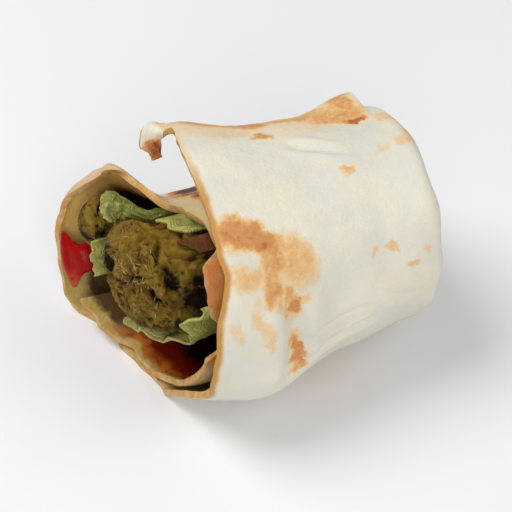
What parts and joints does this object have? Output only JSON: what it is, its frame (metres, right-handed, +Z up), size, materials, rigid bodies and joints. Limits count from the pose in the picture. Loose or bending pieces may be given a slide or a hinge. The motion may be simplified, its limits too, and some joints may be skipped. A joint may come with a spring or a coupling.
{
  "type": "chicken tikka roll",
  "caption": "Half of a rolled flatbread sandwich, cut on the slant, with a tucked end and a gaping mouth that shows spiced chicken, lettuce, tomato and onion.",
  "frame": {"origin": "bottom centre of the whole piece's box, on the surface it lies on", "axes": "+Z up; X runs along the roll, from the cut mouth at -X to the tucked end at +X; the side turned to -Y is the shown front"},
  "size_m": [0.1051, 0.0843, 0.0706],
  "materials": {
    "bread": "baked flatbread, matte cream with toasted orange-brown patches",
    "chicken": "cooked chicken in a dark green-brown marinade, slightly moist",
    "tomato": "cut ripe tomato, wet",
    "lettuce": "fresh shredded lettuce, thin and moist",
    "onion": "red onion browned by the sauce, moist"
  },
  "bodies": {
    "root": {"flatbread": "bread", "chicken_chunk": "chicken", "chicken_side": "chicken", "tomato": "tomato", "lettuce_crown": "lettuce", "lettuce_fold": "lettuce", "lettuce_sliver": "lettuce", "lettuce_bed": "lettuce", "onion_strip": "onion"}
  },
  "joints": []
}
